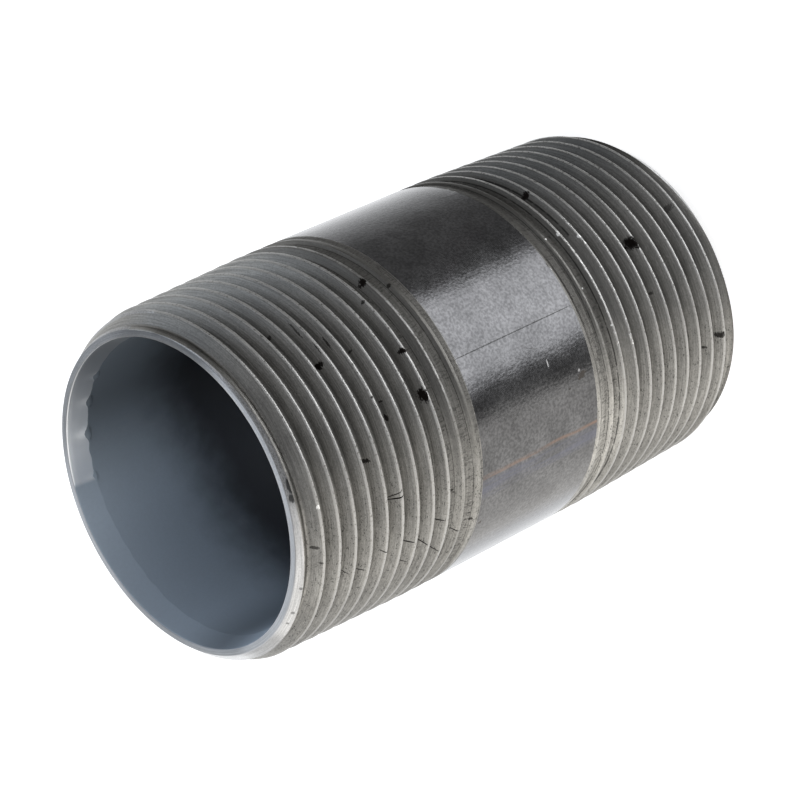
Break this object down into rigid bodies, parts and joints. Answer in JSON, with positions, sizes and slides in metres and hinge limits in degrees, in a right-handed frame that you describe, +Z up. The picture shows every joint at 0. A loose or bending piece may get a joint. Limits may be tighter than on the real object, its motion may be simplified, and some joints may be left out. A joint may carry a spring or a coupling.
{
  "type": "pipe nipple",
  "caption": "Short black steel pipe nipple: a plain barrel between two male taper pipe threads, open right through, for joining female threaded fittings.",
  "frame": {"origin": "centre of the lower end face, which the nipple stands on", "axes": "+Z up along the bore, from the lower end face to the upper one"},
  "size_m": [0.0424, 0.0424, 0.072],
  "materials": {
    "steel": "satin"
  },
  "bodies": {
    "root": {"pipe_nipple": "steel"}
  },
  "joints": []
}
